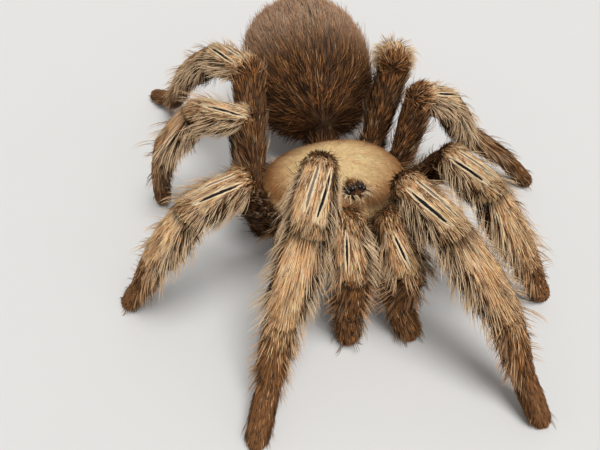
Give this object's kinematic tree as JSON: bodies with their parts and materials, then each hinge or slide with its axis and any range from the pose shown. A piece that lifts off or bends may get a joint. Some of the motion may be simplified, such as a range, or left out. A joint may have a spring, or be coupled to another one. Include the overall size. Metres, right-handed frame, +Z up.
{
  "type": "tarantula model",
  "caption": "Life-size still model of a blond desert tarantula, standing with its front legs bent high at the knee, furry legs and abdomen and a domed golden shield.",
  "frame": {"origin": "on the floor, under the middle of the bounding box", "axes": "+Z up; the head faces -Y; the spider's left side is +X"},
  "size_m": [0.0648, 0.076, 0.0251],
  "materials": {
    "carapace_coat": "short dense golden tan fur, velvety, lying flat",
    "body_coat": "dark brown hair with long pale tips",
    "abdomen_coat": "taupe brown fur with long reddish hairs",
    "femur_coat": "very dark brown hair",
    "patella_coat": "golden tan hair with two bare dark stripes",
    "tibia_coat": "golden tan hair, longer and pale tipped at the sides",
    "metatarsus_coat": "brown hair",
    "tarsus_coat": "dark brown velvet",
    "bare_skin": "bare brown skin",
    "eyes": "black and shiny",
    "fang": "black polished horn"
  },
  "bodies": {
    "root": {"right_palp_femur": "femur_coat", "right_palp_patella": "patella_coat", "right_palp_tibia": "tibia_coat", "right_palp_tarsus": "tarsus_coat", "left_palp_femur": "femur_coat", "left_palp_patella": "patella_coat", "left_palp_tibia": "tibia_coat", "left_palp_tarsus": "tarsus_coat", "right_leg_1_femur": "femur_coat", "right_leg_1_patella": "patella_coat", "right_leg_1_tibia": "tibia_coat", "right_leg_1_metatarsus": "metatarsus_coat", "right_leg_1_tarsus": "tarsus_coat", "left_leg_1_femur": "femur_coat", "left_leg_1_patella": "patella_coat", "left_leg_1_tibia": "tibia_coat", "left_leg_1_metatarsus": "metatarsus_coat", "left_leg_1_tarsus": "tarsus_coat", "right_leg_2_femur": "femur_coat", "right_leg_2_patella": "patella_coat", "right_leg_2_tibia": "tibia_coat", "right_leg_2_metatarsus": "metatarsus_coat", "right_leg_2_tarsus": "tarsus_coat", "left_leg_2_femur": "femur_coat", "left_leg_2_patella": "patella_coat", "left_leg_2_tibia": "tibia_coat", "left_leg_2_metatarsus": "metatarsus_coat", "left_leg_2_tarsus": "tarsus_coat", "right_leg_3_femur": "femur_coat", "right_leg_3_patella": "patella_coat", "right_leg_3_tibia": "tibia_coat", "right_leg_3_metatarsus": "metatarsus_coat", "right_leg_3_tarsus": "tarsus_coat", "left_leg_3_femur": "femur_coat", "left_leg_3_patella": "patella_coat", "left_leg_3_tibia": "tibia_coat", "left_leg_3_metatarsus": "metatarsus_coat", "left_leg_3_tarsus": "tarsus_coat", "right_leg_4_femur": "femur_coat", "right_leg_4_patella": "patella_coat", "right_leg_4_tibia": "tibia_coat", "right_leg_4_metatarsus": "metatarsus_coat", "right_leg_4_tarsus": "tarsus_coat", "left_leg_4_femur": "femur_coat", "left_leg_4_patella": "patella_coat", "left_leg_4_tibia": "tibia_coat", "left_leg_4_metatarsus": "metatarsus_coat", "left_leg_4_tarsus": "tarsus_coat", "underbody": "body_coat", "carapace": "carapace_coat", "eye_mound": "eyes", "right_chelicera": "body_coat", "right_fang": "fang", "right_spinneret": "body_coat", "left_chelicera": "body_coat", "left_fang": "fang", "left_spinneret": "body_coat", "pedicel": "bare_skin", "abdomen": "abdomen_coat"}
  },
  "joints": []
}
